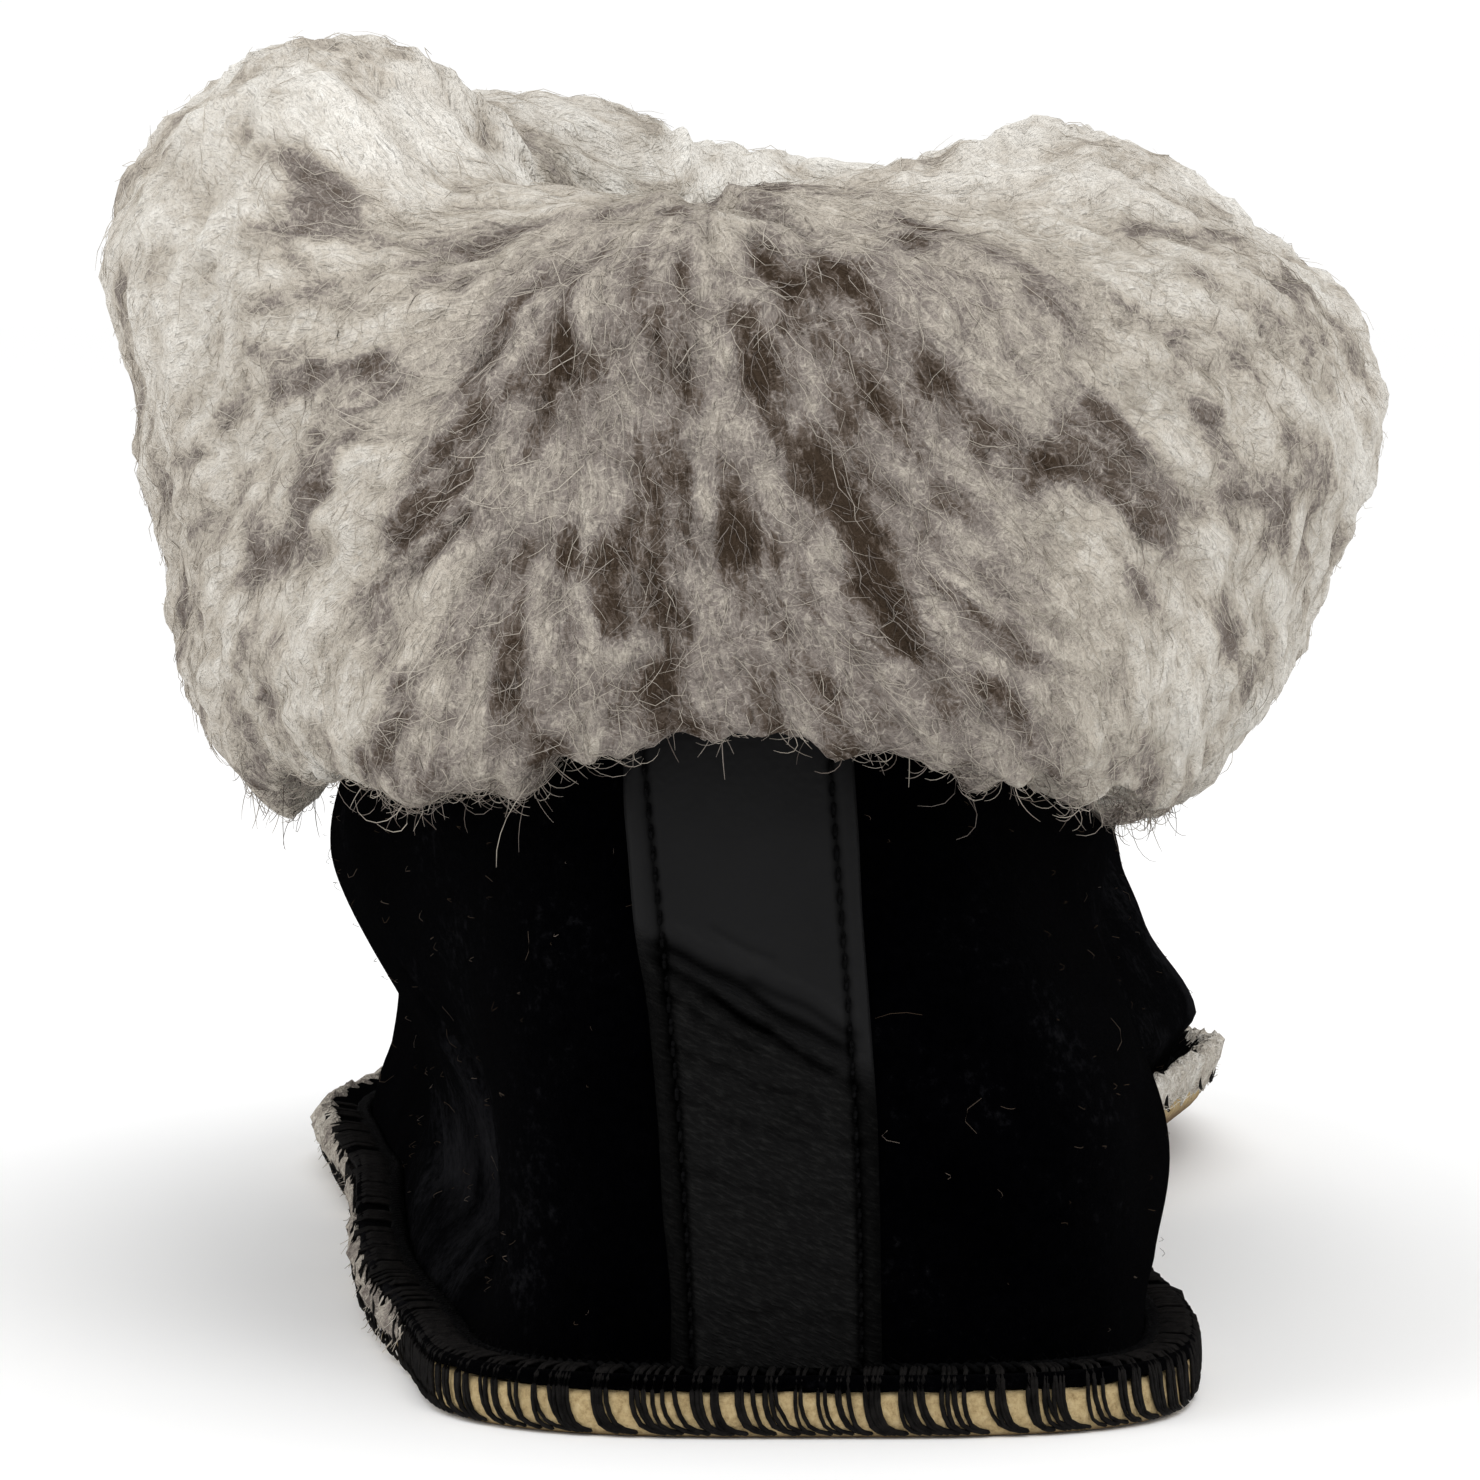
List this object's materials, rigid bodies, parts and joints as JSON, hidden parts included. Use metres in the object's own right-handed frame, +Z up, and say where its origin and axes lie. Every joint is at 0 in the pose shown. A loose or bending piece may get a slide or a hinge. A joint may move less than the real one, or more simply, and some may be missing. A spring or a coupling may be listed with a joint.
{
  "type": "slipper boot",
  "caption": "Left ankle-high slipper boot of black suede sheepskin with a deep turned-down fleece cuff, a smooth leather strip on the back seam and a tan leather sole.",
  "frame": {"origin": "on the floor under the middle of the heel, at the centre of the heel's flat spot", "axes": "+Y along the foot to the toe, +X to the inner side of the left foot, +Z up"},
  "size_m": [0.1282, 0.278, 0.127],
  "materials": {
    "sole_leather": "matte split leather",
    "suede": "matte suede nap",
    "fleece_bed": "matte short fleece",
    "smooth_leather": "satin grain leather",
    "fleece": "matte long fleece"
  },
  "bodies": {
    "root": {"outsole": "sole_leather", "upper": "suede", "footbed": "fleece_bed", "heel_strip": "smooth_leather", "cuff": "fleece"}
  },
  "joints": []
}
